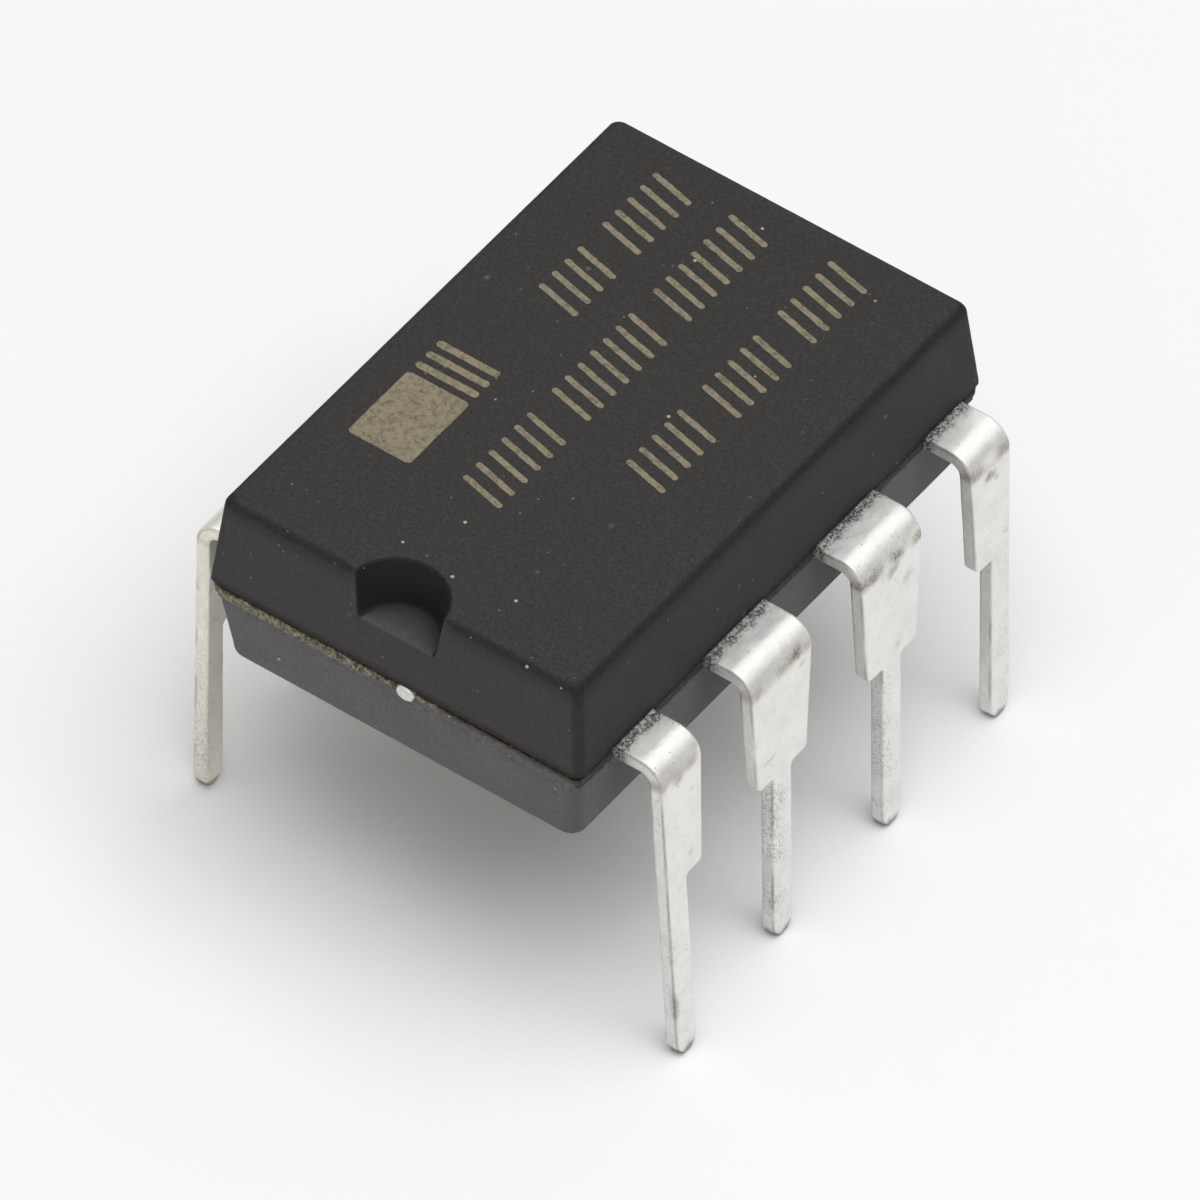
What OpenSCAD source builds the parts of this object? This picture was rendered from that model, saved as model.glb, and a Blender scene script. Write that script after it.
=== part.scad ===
// Eight-lead dual in-line integrated circuit.
// X runs across the two rows of leads, Y along the body, Z up from the lead tips.
// The half-round notch is at the -Y end, and lead 1 is beside it in the +X row.
// Leads 1 to 4 go up the +X row, and leads 5 to 8 come back down the -X row.
// The stamped lead frame holds the leads, the die pad and its tie bars in one flat layer,
// and the body is moulded round them, so every piece inside sits in its own cavity.

/* [Moulded body] */
// Width of the body at its parting line
body_w = 6.28; // [6:0.02:6.8]
// Length of the body at its parting line
body_l = 9.32; // [9:0.02:10.1]
// Height of the half above the parting line
upper_h = 1.59; // [1.2:0.01:1.8]
// Height of the half below the parting line
lower_h = 1.49; // [1:0.01:1.8]
// Draft of the sides above the parting line, in degrees
upper_draft = 5.5; // [3:0.5:7]
// Draft of the sides below the parting line, in degrees
lower_draft = 6; // [3:0.5:7]
// Overhang of the upper half over the lower one at the parting line
parting_step = 0.05; // [0.01:0.01:0.1]
// Radius of the upright corners at the parting line
corner_r = 0.15; // [0.06:0.01:0.3]
// Radius of the edge round the top face
top_edge_r = 0.17; // [0.08:0.01:0.25]
// Radius of the edge round the underside
bottom_edge_r = 0.13; // [0.08:0.01:0.25]

/* [Notch] */
// Radius of the half-round notch at the top face
notch_r = 0.75; // [0.5:0.01:0.9]
// Depth of the notch below the top face
notch_depth = 0.79; // [0.4:0.01:0.9]
// Taper of the notch's wall, in degrees
notch_taper = 8; // [2:1:12]
// Distance of the notch's centre in from the end of the body at the parting line
notch_inset = 0.06; // [0:0.01:0.2]

/* [Leads] */
// Distance from one lead to the next along a row
pitch = 2.54; // [2.5:0.01:2.6]
// Distance between the outer faces of the two rows, at the foot of the bends
row_span = 7.88; // [7.8:0.01:8.3]
// Thickness of the lead frame
lead_t = 0.24; // [0.18:0.01:0.28]
// Outer radius of the bend between a lead's flat root and its leg
bend_r = 0.4; // [0.34:0.01:0.5]
// Width of the narrow leg that goes through the board
leg_w = 0.42; // [0.38:0.01:0.5]
// Length of the narrow leg below the shoulder
leg_len = 3.22; // [2.9:0.01:3.8]
// Height from the shoulder's lower edge to the underside of the body
standoff = 0.82; // [0.5:0.01:1]
// How far the shoulder stands out from the leg's side at the bend
ear_top = 0.48; // [0.4:0.01:0.56]
// How far the shoulder stands out from the leg's side at its lower edge
ear_bottom = 0.36; // [0.2:0.01:0.4]
// Radius of the shoulder's lower corners
ear_r = 0.1; // [0.04:0.01:0.15]
// Width of the leg's blunt end
tip_w = 0.2; // [0.1:0.01:0.3]
// Height of the taper at the leg's end
tip_h = 0.3; // [0.1:0.01:0.5]
// Outward lean of the legs that were left as formed, in degrees
splay = 1.2; // [0:0.1:2]
// Outward lean of lead 1, which was bent out in handling, in degrees
splay_1 = 3.9; // [0:0.1:5]
// Outward lean of lead 8, in degrees
splay_8 = 1.8; // [0:0.1:4]
// Sideways set of lead 8's tip towards lead 7
skew_8 = 0.12; // [0:0.01:0.2]

/* [Inside the body] */
// Shift of the whole lead frame along the mould, away from the notch
frame_shift = 0.18; // [0:0.01:0.25]
// Depth to which a lead keeps its full shoulder width inside the body
root_depth = 0.28; // [0.15:0.01:0.4]
// Width of the fingers inside the body
finger_w = 0.84; // [0.6:0.01:0.9]
// Radius of the holes through which the moulding locks the fingers
lock_r = 0.16; // [0.1:0.01:0.2]
// Distance of the lock holes in from the side of the body
lock_inset = 0.72; // [0.65:0.01:0.8]
// Width of the die pad
pad_w = 2.6; // [2.2:0.02:2.8]
// Length of the die pad
pad_l = 3.4; // [3:0.02:3.6]
// Gap between the die pad and the ends of the fingers
pad_gap = 0.3; // [0.2:0.01:0.35]
// Width of the tie bars that carried the die pad
tie_w = 0.29; // [0.2:0.01:0.4]
// Distance of the tie bars from the middle of the width
tie_x = 0.21; // [0:0.01:0.25]
// Length of tie bar left standing out of each end of the body
tie_stub = 0.04; // [0.01:0.01:0.1]
// Width of the die
die_w = 1.5; // [1:0.02:1.7]
// Length of the die
die_l = 1.9; // [1.4:0.02:2.2]
// Thickness of the die
die_t = 0.28; // [0.15:0.01:0.35]
// Thickness of the die attach layer
attach_t = 0.03; // [0.02:0.01:0.06]
// How far the die attach layer shows round the die
attach_rim = 0.06; // [0.02:0.01:0.1]
// Radius of the bond wires
wire_r = 0.025; // [0.02:0.001:0.03]
// Height of a bond wire's loop above a straight line between its ends
wire_rise = 0.3; // [0.2:0.01:0.4]
// Radius of the ball that joins a bond wire to the die
ball_r = 0.055; // [0.04:0.001:0.07]
// Height of that ball
ball_h = 0.04; // [0.03:0.001:0.05]
// Distance of the bonds in from the edge of the die and from the end of a finger
bond_inset = 0.16; // [0.1:0.01:0.2]

/* [Hidden] */

$fn = 64;
// Facets round the moulding's corners, and round holes and bonds under 0.5 mm
corner_fn = 32;
small_fn = 24;

// Steps in each small rounding
arc_steps = 6;
// Straight pieces along a bond wire, and flats round it
wire_steps = 10;
wire_sides = 6;

// Heights above the lead tips
underside_z = leg_len + standoff;
parting_z = underside_z + lower_h;
top_z = parting_z + upper_h;
frame_z = parting_z - lead_t;
die_z = parting_z + attach_t;
die_top_z = die_z + die_t;

// Where the flat root of a lead ends and its bend starts
bend_x = row_span / 2 - bend_r;
bend_z = parting_z - bend_r;

// Half of a lead's width at the bend
root_half = leg_w / 2 + ear_top;

// Tints of the pieces
mould_tint = [0.17, 0.17, 0.18];
tin_tint = [0.84, 0.83, 0.79];
copper_tint = [0.72, 0.45, 0.3];
paste_tint = [0.62, 0.62, 0.6];
silicon_tint = [0.33, 0.35, 0.42];
gold_tint = [0.9, 0.7, 0.3];

function count_row(i) = i <= 4 ? i - 2.5 : 6.5 - i;
function lead_side(i) = i <= 4 ? 1 : -1;
function lead_y(i) = count_row(i) * pitch;
function is_corner(i) = abs(count_row(i)) > 1;
function lead_splay(i) = i == 1 ? splay_1 : i == 8 ? splay_8 : splay;
function lead_skew(i) = i == 8 ? skew_8 : 0;
function arc(centre, r, from, to) =
    [for (k = [0:arc_steps]) let (a = from + (to - from) * k / arc_steps)
        centre + r * [cos(a), sin(a)]];
function flip(points) = [for (k = [len(points) - 1:-1:0]) [-points[k][0], points[k][1]]];

// One half of the moulding, standing on the parting plane. Its sides are drafted all round
// and run as tangents into the edge round its flat face.
module drafted_half(w, l, h, draft, r, edge) {
    inset = (h - edge) * tan(draft) + edge / cos(draft);
    hull()
        for (x = [-1, 1], y = [-1, 1]) {
            translate([x * (w / 2 - r), y * (l / 2 - r), 0])
                cylinder(r1 = r, r2 = 0, h = edge, $fn = corner_fn);
            translate([x * (w / 2 - inset), y * (l / 2 - inset), h - edge])
                rotate_extrude($fn = corner_fn)
                    polygon(concat([[0, 0]], arc([0, 0], edge, draft, 90)));
        }
}

// Half-round index notch, open to the end of the body
module index_notch() {
    translate([0, notch_inset - body_l / 2, top_z - notch_depth])
        cylinder(
            r1 = notch_r - notch_depth * tan(notch_taper),
            r2 = notch_r + notch_depth * tan(notch_taper),
            h = 2 * notch_depth
        );
}

// Everything that the moulding closes round
module embedded() {
    for (i = [1:8]) {
        lead(i);
        bond_wire(i);
    }
    pad();
    attach();
    chip();
}

module moulded_body() {
    color(mould_tint)
        difference() {
            union() {
                translate([0, 0, parting_z])
                    drafted_half(body_w, body_l, upper_h, upper_draft, corner_r, top_edge_r);
                translate([0, 0, parting_z])
                    mirror([0, 0, 1])
                        drafted_half(
                            body_w - 2 * parting_step,
                            body_l - 2 * parting_step,
                            lower_h, lower_draft, corner_r, bottom_edge_r
                        );
            }
            index_notch();
            embedded();
        }
}

// Plan of a lead between its bend and the body's inside, for the middle of a row
function middle_plan() =
    let (neck = body_w / 2 - root_depth, inner = pad_w / 2 + pad_gap)
    [
        [bend_x, -root_half],
        [bend_x, root_half],
        [neck, root_half],
        [neck, finger_w / 2],
        [inner, finger_w / 2],
        [inner, -finger_w / 2],
        [neck, -finger_w / 2],
        [neck, -root_half]
    ];

// How far a corner finger reaches along the body to come beside the die pad's end
corner_reach = 1.5 * pitch - pad_l / 2 - pad_gap;
// Inner end of a corner finger, clear of the tie bar
corner_x = tie_x + tie_w / 2 + pad_gap;

// Plan of a corner lead, which has its shoulder on one side only and turns in to the die pad
function corner_plan() =
    let (neck = body_w / 2 - root_depth, outer = -leg_w / 2, inner = finger_w / 2)
    [
        [bend_x, outer],
        [bend_x, root_half],
        [neck, root_half],
        [neck, inner],
        [corner_x + 1.7 * finger_w, inner],
        [corner_x + 0.8 * finger_w, corner_reach],
        [corner_x, corner_reach],
        [corner_x + 0.6 * finger_w, outer]
    ];

// One side of a leg's outline, from the bend down to the tip, with y out from the leg's middle
function shouldered_edge(shoulder, length, skew) =
    let (foot = leg_w / 2, edge = leg_w / 2 + ear_bottom)
    concat(
        [[leg_w / 2 + ear_top, 0]],
        arc([edge - ear_r, -shoulder + ear_r], ear_r, 0, -90),
        [[foot, -shoulder]],
        [[foot + skew * (1 - tip_h / (length - shoulder)), -length + tip_h]],
        [[tip_w / 2 + skew, -length]]
    );
function plain_edge(shoulder, length, skew) =
    [
        [leg_w / 2, 0],
        [leg_w / 2, -shoulder],
        [leg_w / 2 + skew * (1 - tip_h / (length - shoulder)), -length + tip_h],
        [tip_w / 2 + skew, -length]
    ];

// A lead of the +X row at y = 0. A corner lead has its shoulder towards +Y.
module formed_lead(corner, lean, skew) {
    inside_r = bend_r - lead_t;
    length = (bend_z + inside_r * sin(lean)) / cos(lean);
    shoulder = length - leg_len / cos(lean);
    near_half = corner ? leg_w / 2 : root_half;
    lock_x = body_w / 2 - lock_inset;
    difference() {
        translate([0, 0, frame_z])
            linear_extrude(lead_t)
                polygon(corner ? corner_plan() : middle_plan());
        translate([lock_x, 0, frame_z - lead_t])
            cylinder(r = lock_r, h = 3 * lead_t, $fn = small_fn);
    }
    translate([bend_x, 0, bend_z]) {
        rotate([90, 0, 0])
            rotate([0, 0, lean])
                rotate_extrude(angle = 90 - lean)
                    polygon([
                        [inside_r, -root_half],
                        [bend_r, -root_half],
                        [bend_r, near_half],
                        [inside_r, near_half]
                    ]);
        rotate([0, -lean, 0])
            translate([inside_r, 0, 0])
                rotate([90, 0, 90])
                    linear_extrude(lead_t)
                        polygon(concat(
                            shouldered_edge(shoulder, length, skew),
                            flip(corner
                                ? plain_edge(shoulder, length, -skew)
                                : shouldered_edge(shoulder, length, -skew))
                        ));
    }
}

module lead(i) {
    color(tin_tint)
        translate([0, lead_y(i) + frame_shift, 0])
            mirror([lead_side(i) > 0 ? 0 : 1, 0, 0])
                mirror([0, is_corner(i) && lead_y(i) > 0 ? 1 : 0, 0])
                    formed_lead(is_corner(i), lead_splay(i), lead_skew(i));
}

// Die pad with the two tie bars that carried it, cut off just outside the moulding
module pad() {
    color(copper_tint)
        translate([0, 0, frame_z])
            linear_extrude(lead_t)
                union() {
                    translate([0, frame_shift])
                        square([pad_w, pad_l], center = true);
                    translate([tie_x, 0])
                        square([tie_w, body_l + 2 * tie_stub], center = true);
                }
}

module attach() {
    color(paste_tint)
        translate([0, frame_shift, parting_z + attach_t / 2])
            cube([die_w + 2 * attach_rim, die_l + 2 * attach_rim, attach_t], center = true);
}

module chip() {
    color(silicon_tint)
        translate([0, frame_shift, die_z + die_t / 2])
            cube([die_w, die_l, die_t], center = true);
}

// Where bond wire i sits on the die, and where it lands on its finger
function bond_start(i) =
    [
        lead_side(i) * (die_w / 2 - bond_inset),
        count_row(i) * (die_l - 2 * bond_inset) / 3
    ];
function bond_end(i) =
    is_corner(i)
        ? [
            lead_side(i) * (corner_x + 0.4 * finger_w),
            sign(lead_y(i)) * (pad_l / 2 + pad_gap + bond_inset)
        ]
        : [lead_side(i) * (pad_w / 2 + pad_gap + bond_inset), lead_y(i)];

// Centre line of a bond wire: steep out of its ball, then down in a long slope
function wire_point(i, t) =
    let (flat = bond_start(i) + t * (bond_end(i) - bond_start(i)),
         from = die_top_z + ball_h / 2,
         to = parting_z + 1.3 * wire_r)
    [flat[0], flat[1], from + t * (to - from) + wire_rise * sin(180 * pow(t, 0.55))];

function unit(v) = v / norm(v);

// Ring of points round the wire's centre line, square to its run
function wire_ring(i, k) =
    let (run = unit(bond_end(i) - bond_start(i)),
         side = [-run[1], run[0], 0],
         before = wire_point(i, max(k - 1, 0) / wire_steps),
         after = wire_point(i, min(k + 1, wire_steps) / wire_steps),
         along = k == 0 ? [0, 0, 1] : unit(after - before),
         up = cross(along, side))
    [for (a = [0:wire_sides - 1])
        wire_point(i, k / wire_steps)
            + wire_r * (cos(360 * a / wire_sides) * side + sin(360 * a / wire_sides) * up)];

module bond_wire(i) {
    last = wire_steps * wire_sides;
    points = [for (k = [0:wire_steps]) each wire_ring(i, k)];
    walls = [for (k = [0:wire_steps - 1], a = [0:wire_sides - 1])
        let (low = k * wire_sides, next = (a + 1) % wire_sides)
        each [
            [low + a, low + wire_sides + a, low + next],
            [low + next, low + wire_sides + a, low + wire_sides + next]
        ]];
    color(gold_tint)
        translate([0, frame_shift, 0]) {
            translate([bond_start(i)[0], bond_start(i)[1], die_top_z])
                cylinder(r = ball_r, h = ball_h, $fn = small_fn);
            polyhedron(
                points,
                concat(
                    [[for (a = [0:wire_sides - 1]) a]],
                    walls,
                    [[for (a = [wire_sides - 1:-1:0]) last + a]]
                )
            );
            translate([bond_end(i)[0], bond_end(i)[1], parting_z])
                cylinder(r = 2 * wire_r, h = 1.2 * wire_r, $fn = small_fn);
        }
}

moulded_body();
lead(1);  // lead_1
lead(2);  // lead_2
lead(3);  // lead_3
lead(4);  // lead_4
lead(5);  // lead_5
lead(6);  // lead_6
lead(7);  // lead_7
lead(8);  // lead_8
pad();  // die_pad
attach();  // die_attach
chip();  // die
bond_wire(1);  // bond_wire_1
bond_wire(2);  // bond_wire_2
bond_wire(3);  // bond_wire_3
bond_wire(4);  // bond_wire_4
bond_wire(5);  // bond_wire_5
bond_wire(6);  // bond_wire_6
bond_wire(7);  // bond_wire_7
bond_wire(8);  // bond_wire_8
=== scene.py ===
import math

import bmesh
import bpy
import numpy as np
from mathutils import Matrix, Vector, noise


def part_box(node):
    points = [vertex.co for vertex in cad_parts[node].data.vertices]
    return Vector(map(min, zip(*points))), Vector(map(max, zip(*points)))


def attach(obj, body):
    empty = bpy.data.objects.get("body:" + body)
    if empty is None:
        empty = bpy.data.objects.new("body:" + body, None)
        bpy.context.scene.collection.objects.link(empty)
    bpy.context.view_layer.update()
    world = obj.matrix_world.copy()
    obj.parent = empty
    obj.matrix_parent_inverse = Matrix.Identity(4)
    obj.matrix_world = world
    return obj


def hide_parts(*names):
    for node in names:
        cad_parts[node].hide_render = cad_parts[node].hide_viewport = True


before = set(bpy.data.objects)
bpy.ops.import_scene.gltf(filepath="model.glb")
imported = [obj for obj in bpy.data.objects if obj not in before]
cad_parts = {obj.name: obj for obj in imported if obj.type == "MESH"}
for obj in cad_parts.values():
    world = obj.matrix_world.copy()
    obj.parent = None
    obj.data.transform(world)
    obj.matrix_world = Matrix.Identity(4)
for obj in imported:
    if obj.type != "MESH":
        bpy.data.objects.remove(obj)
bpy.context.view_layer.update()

MM = 0.001

# Sizes in millimetres, the same as in the part's source
body_lo, body_hi = (tuple(c / MM for c in corner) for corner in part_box("moulded_body"))
HALF_W, HALF_L = body_hi[0], body_hi[1]
UNDERSIDE, TOP = body_lo[2], body_hi[2]
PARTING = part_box("lead_2")[1][2] / MM
UPPER_DRAFT, LOWER_DRAFT = math.radians(5.5), math.radians(6)
PARTING_STEP, CORNER_R = 0.05, 0.15
TOP_EDGE, BOTTOM_EDGE = 0.17, 0.13
NOTCH_R, NOTCH_DEPTH, NOTCH_TAPER = 0.75, 0.79, math.radians(8)
NOTCH_Y = 0.06 - HALF_L
PITCH, FRAME_SHIFT = 2.54, 0.18
LEAD_T, BEND_R, LEG_W, LEG_LEN = 0.24, 0.40, 0.42, 3.22
EAR_TOP, EAR_BOTTOM, EAR_R = 0.48, 0.36, 0.1
TIP_W, TIP_H = 0.2, 0.3
OVER_BENDS = 7.88
BEND_X = OVER_BENDS / 2 - BEND_R
BEND_Z = PARTING - BEND_R
# Splay of the leads in degrees, and how far a tip is set sideways
USUAL_LEAN, LEAN = 1.2, {1: 3.9, 8: 1.8}
SKEW = {8: 0.12}
FINGER_W, ROOT_DEPTH = 0.84, 0.28
PAD_W, PAD_L, PAD_GAP = 2.6, 3.4, 0.3
TIE_W, TIE_X, TIE_STUB = 0.29, 0.21, 0.04
# The moulding's top is sunk this far, and the print on it a little less, to stay within the part's height
SINK, PRINT_SINK = 0.006, 0.002
# From the parting line down to the middle of the lead frame's thickness
HALF_T = LEAD_T / 2


def fuzz(x, y, z):
    """Smooth noise from -1 to 1."""
    return noise.noise(Vector((x, y, z)))


def ease(t):
    t = min(max(t, 0.0), 1.0)
    return t * t * (3 - 2 * t)


# Node helpers

class Shader:
    def __init__(self, name):
        self.mat = bpy.data.materials.new(name)
        self.mat.use_nodes = True
        self.tree = self.mat.node_tree
        self.tree.nodes.clear()
        self.out = self.add("ShaderNodeOutputMaterial")

    def add(self, kind, inputs=None, **props):
        node = self.tree.nodes.new(kind)
        for key, value in props.items():
            setattr(node, key, value)
        for key, value in (inputs or {}).items():
            if isinstance(value, bpy.types.NodeSocket):
                self.tree.links.new(value, node.inputs[key])
            else:
                node.inputs[key].default_value = value
        return node

    def place(self):
        """Position in millimetres."""
        coord = self.add("ShaderNodeTexCoord")
        scale = self.add("ShaderNodeVectorMath", {0: coord.outputs["Object"], 3: 1 / MM}, operation="SCALE")
        return scale.outputs[0]

    def noise(self, at, scale, detail=3.0, rough=0.6, distort=0.0):
        node = self.add("ShaderNodeTexNoise", {
            "Vector": at, "Scale": scale, "Detail": detail, "Roughness": rough, "Distortion": distort})
        return node.outputs[0]

    def cells(self, at, scale):
        return self.add("ShaderNodeTexVoronoi", {"Vector": at, "Scale": scale}).outputs["Distance"]

    def fit(self, value, low, high, to_low, to_high):
        """Value brought from one range to another, and kept inside it."""
        node = self.add("ShaderNodeMapRange", {
            "Value": value, "From Min": low, "From Max": high, "To Min": to_low, "To Max": to_high})
        return node.outputs[0]

    def math(self, kind, a, b):
        return self.add("ShaderNodeMath", {0: a, 1: b}, operation=kind).outputs[0]

    def blend(self, by, a, b):
        """Number between a and b."""
        return self.add("ShaderNodeMix", {0: by, 2: a, 3: b}).outputs[0]

    def scaled(self, colour, by):
        return self.add("ShaderNodeVectorMath", {0: colour, 3: by}, operation="SCALE").outputs[0]

    def mix(self, a, b, by):
        """Colour between a and b."""
        node = self.add("ShaderNodeMix", {0: by, 6: a, 7: b}, data_type="RGBA")
        return node.outputs[2]

    def tone(self):
        return self.add("ShaderNodeAttribute", attribute_name="tone").outputs["Color"]

    def grit(self):
        return self.add("ShaderNodeAttribute", attribute_name="grit").outputs["Fac"]

    def bump(self, height, strength, distance, normal=None):
        """Bumps up to a distance in millimetres, over those of another normal."""
        inputs = {"Height": height, "Strength": strength, "Distance": distance * MM}
        if normal is not None:
            inputs["Normal"] = normal
        return self.add("ShaderNodeBump", inputs).outputs[0]

    def surface(self, inputs):
        node = self.add("ShaderNodeBsdfPrincipled", inputs)
        self.tree.links.new(node.outputs[0], self.out.inputs["Surface"])
        return self.mat


# Colours that the materials mix in, linear
TINY_DUST, SOFT_DUST, BRIGHT_DUST = (0.24, 0.23, 0.2, 1), (0.17, 0.175, 0.155, 1), (0.5, 0.48, 0.42, 1)
WORN_INK, FULL_INK = (0.10, 0.086, 0.062, 1), (0.275, 0.238, 0.165, 1)
PIT_TONE = (0.3, 0.27, 0.23, 1)


def moulding_material():
    s = Shader("moulding")
    at = s.place()
    tone, grit = s.tone(), s.grit()
    grain = s.noise(at, 17, 4, 0.7)
    fine = s.noise(at, 46, 2, 0.6)
    blotch = s.noise(at, 1.1, 3, 0.6)
    level = s.math("MULTIPLY", s.fit(grain, 0.25, 0.75, 0.5, 1.5), s.fit(fine, 0.25, 0.75, 0.75, 1.25))
    # The sides are smoother than the top
    height = s.add("ShaderNodeSeparateXYZ", {0: at}).outputs["Z"]
    grained = s.fit(height, TOP - 0.25, TOP - 0.05, 0.45, 1.0)
    level = s.blend(grained, 1.0, level)
    level = s.math("MULTIPLY", level, s.fit(blotch, 0.3, 0.7, 0.9, 1.1))
    coarse = s.noise(at, 15, 5, 0.8, 0.4)
    gritty = s.fit(coarse, 0.4, 0.64, 0.1, 1.8)
    level = s.math("MULTIPLY", level, s.blend(grit, 1.0, gritty))
    base = s.scaled(tone, level)
    # Dust: tiny specks in patches, soft spots, and single bright specks
    patchy = s.fit(s.noise(at, 1.6, 3, 0.7), 0.46, 0.58, 0.0, 1.0)
    tiny = s.math("MULTIPLY", s.fit(s.cells(at, 4.1), 0.085, 0.05, 0.0, 0.6), patchy)
    base = s.mix(base, TINY_DUST, tiny)
    uneven = s.fit(coarse, 0.35, 0.6, 0.1, 1.0)
    soft = s.math("MULTIPLY", s.fit(s.cells(at, 1.15), 0.065, 0.015, 0.0, 0.75), uneven)
    base = s.mix(base, SOFT_DUST, soft)
    base = s.mix(base, BRIGHT_DUST, s.fit(s.cells(at, 1.5), 0.046, 0.03, 0.0, 0.85))
    bumpy = s.bump(fine, 0.35, 0.006, s.bump(grain, 0.5, 0.012))
    return s.surface({
        "Base Color": base, "Roughness": s.fit(blotch, 0.3, 0.7, 0.62, 0.72),
        "Specular IOR Level": 0.3, "Normal": bumpy})


def print_material():
    s = Shader("print")
    at = s.place()
    worn = s.noise(at, 12, 5, 0.75)
    base = s.mix(WORN_INK, FULL_INK, s.fit(worn, 0.3, 0.55, 0.0, 1.0))
    bumpy = s.bump(s.noise(at, 30, 3, 0.7), 0.5, 0.01)
    return s.surface({
        "Base Color": base, "Roughness": 0.75, "Specular IOR Level": 0.25, "Normal": bumpy})


def tin_material():
    s = Shader("tin_plate")
    at = s.place()
    tone, grit = s.tone(), s.grit()
    broad = s.noise(at, 2.2, 4, 0.65)
    grain = s.noise(at, 24, 4, 0.7)
    pits = s.fit(s.cells(at, 9), 0.16, 0.07, 0.0, 0.7)
    pits = s.math("MULTIPLY", pits, s.fit(s.noise(at, 3, 2), 0.47, 0.6, 0.0, 1.0))
    level = s.math("MULTIPLY", s.fit(broad, 0.25, 0.75, 0.9, 1.06),
                   s.fit(grain, 0.25, 0.75, 0.93, 1.06))
    # Specks, denser where it's gritty
    dense = s.math("MULTIPLY", s.math("MULTIPLY", grit, grit), 0.09)
    speck = s.fit(s.math("SUBTRACT", s.noise(at, 24, 4, 0.75), dense), 0.36, 0.5, 0.18, 1.04)
    level = s.math("MULTIPLY", level, s.blend(grit, 1.0, speck))
    base = s.mix(s.scaled(tone, level), PIT_TONE, pits)
    dents = s.bump(s.noise(at, 4, 2, 0.5), 0.3, 0.03)
    bumpy = s.bump(grain, 0.4, 0.012, dents)
    bumpy = s.bump(s.math("SUBTRACT", 1.0, pits), 0.4, 0.015, bumpy)
    rough = s.math("ADD", s.fit(broad, 0.3, 0.7, 0.38, 0.46), s.math("MULTIPLY", grit, 0.25))
    return s.surface({"Base Color": base, "Metallic": 0.7, "Roughness": rough, "Normal": bumpy})


def grained_material(name, colour, rough, metallic, scale=20):
    """Fine-grained material. Without a colour it takes the mesh's own tone."""
    s = Shader(name)
    at = s.place()
    grain = s.noise(at, scale, 3, 0.65)
    if colour is None:
        base = s.scaled(s.tone(), s.fit(grain, 0.25, 0.75, 0.8, 1.15))
    else:
        base = s.mix(tuple(0.82 * c for c in colour) + (1,), tuple(colour) + (1,), grain)
    bumpy = s.bump(grain, 0.3, 0.008)
    return s.surface({
        "Base Color": base, "Metallic": metallic,
        "Roughness": s.fit(grain, 0.3, 0.7, rough, rough + 0.12), "Normal": bumpy})


# Mesh helpers

def finish_piece(obj, mat, nodes, sharp):
    """Adds a piece in place of the nodes named, shaded smooth up to an angle in degrees."""
    obj.data.materials.append(mat)
    bpy.context.scene.collection.objects.link(obj)
    obj.data.shade_smooth()
    obj.data.set_sharp_from_angle(angle=math.radians(sharp))
    if nodes:
        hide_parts(*nodes)
    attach(obj, "root")


def set_tone(mesh, colours, grits):
    """Colour and grittiness at each vertex, which the material works over."""
    tone = mesh.attributes.new("tone", "FLOAT_COLOR", "POINT")
    flat = np.ones((len(mesh.vertices), 4), dtype=np.float32)
    flat[:, :3] = colours
    tone.data.foreach_set("color", flat.ravel())
    grit = mesh.attributes.new("grit", "FLOAT", "POINT")
    grit.data.foreach_set("value", np.asarray(grits, dtype=np.float32))


def plate(bm, points):
    """Flat plate with the lead frame's thickness, from the points of its outline."""
    low = [bm.verts.new((x, y, -HALF_T)) for x, y in points]
    high = [bm.verts.new((x, y, HALF_T)) for x, y in points]
    bm.faces.new(low[::-1])
    bm.faces.new(high)
    for k in range(len(points)):
        n = (k + 1) % len(points)
        bm.faces.new((low[k], low[n], high[n], high[k]))
    bmesh.ops.recalc_face_normals(bm, faces=bm.faces)


def slice_at(bm, axis, value):
    """Cuts every face where it crosses a plane, so that it can be bent there."""
    normal = [0, 0, 0]
    normal[axis] = 1
    bmesh.ops.bisect_plane(bm, geom=bm.verts[:] + bm.edges[:] + bm.faces[:],
                           plane_co=tuple(value * n for n in normal), plane_no=normal)


# Moulded body, lofted from rings of points that go round it anticlockwise

# Columns in each half of the notched end, in the notch, in a corner, on a long side and on the plain end
HALF_END_COLS, NOTCH_COLS, CORNER_COLS, SIDE_COLS, END_COLS = 78, 97, 9, 300, 170


def columns():
    """Columns: x and y on the straight sides (-1 to 1), corner direction, and place in the notch."""
    out = []

    def side(count, fixed, start, end, normal):
        for k in range(count):
            t = start + (end - start) * (k + 0.5) / count
            x, y = (t, fixed) if normal[0] == 0 else (fixed, t)
            out.append((x, y, normal[0], normal[1], -1.0))

    def corner(sx, sy, start):
        for k in range(CORNER_COLS):
            a = math.radians(start + 90 * k / (CORNER_COLS - 1))
            out.append((sx, sy, math.cos(a), math.sin(a), -1.0))

    side(HALF_END_COLS, -1, -1, 0, (0, -1))
    for k in range(NOTCH_COLS):
        out.append((0, -1, 0, -1, k / (NOTCH_COLS - 1)))
    side(HALF_END_COLS, -1, 0, 1, (0, -1))
    corner(1, -1, -90)
    side(SIDE_COLS, 1, -1, 1, (1, 0))
    corner(1, 1, 0)
    side(END_COLS, 1, 1, -1, (0, 1))
    corner(-1, 1, 90)
    side(SIDE_COLS, -1, 1, -1, (-1, 0))
    corner(-1, -1, 180)
    return np.array(out)


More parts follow.
